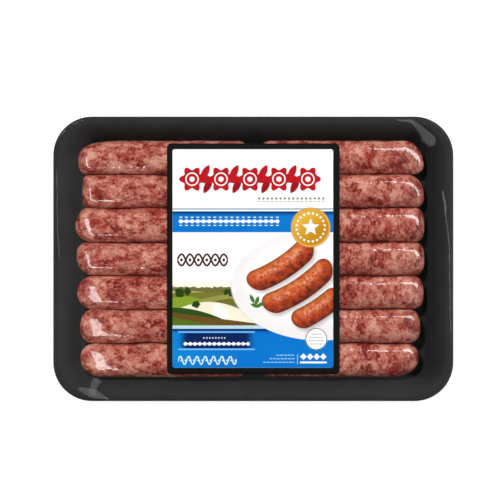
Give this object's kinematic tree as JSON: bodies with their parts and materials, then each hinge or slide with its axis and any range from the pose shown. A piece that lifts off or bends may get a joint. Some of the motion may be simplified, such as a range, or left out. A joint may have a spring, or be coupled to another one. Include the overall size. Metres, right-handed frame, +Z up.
{
  "type": "pack of breakfast sausages",
  "caption": "Flat black foam tray of raw sausage links in two columns, wrapped tight in clear film, with a rectangular printed label across the middle.",
  "frame": {"origin": "middle of the underside, on the surface that the pack lies on", "axes": "+X along the tray's long side and along the links, +Y across the tray from the last row of links to the first, which is the top of the label's print, +Z up out of the label"},
  "size_m": [0.216, 0.153, 0.0224],
  "materials": {
    "foam": "black foam plastic, satin, seen through the film",
    "raw_pork": "moist raw ground pork in a thin casing, pink with pale fat and dark red lean, glossy",
    "clear_film": "thin clear stretch film, glossy, with small folds",
    "printed_label": "printed self-adhesive label, satin, white and blue with a black border"
  },
  "bodies": {
    "root": {"tray": "foam", "link_left_1": "raw_pork", "link_left_2": "raw_pork", "link_left_3": "raw_pork", "link_left_4": "raw_pork", "link_left_5": "raw_pork", "link_left_6": "raw_pork", "link_left_7": "raw_pork", "link_right_1": "raw_pork", "link_right_2": "raw_pork", "link_right_3": "raw_pork", "link_right_4": "raw_pork", "link_right_5": "raw_pork", "link_right_6": "raw_pork", "link_right_7": "raw_pork", "film": "clear_film", "label": "printed_label"}
  },
  "joints": []
}
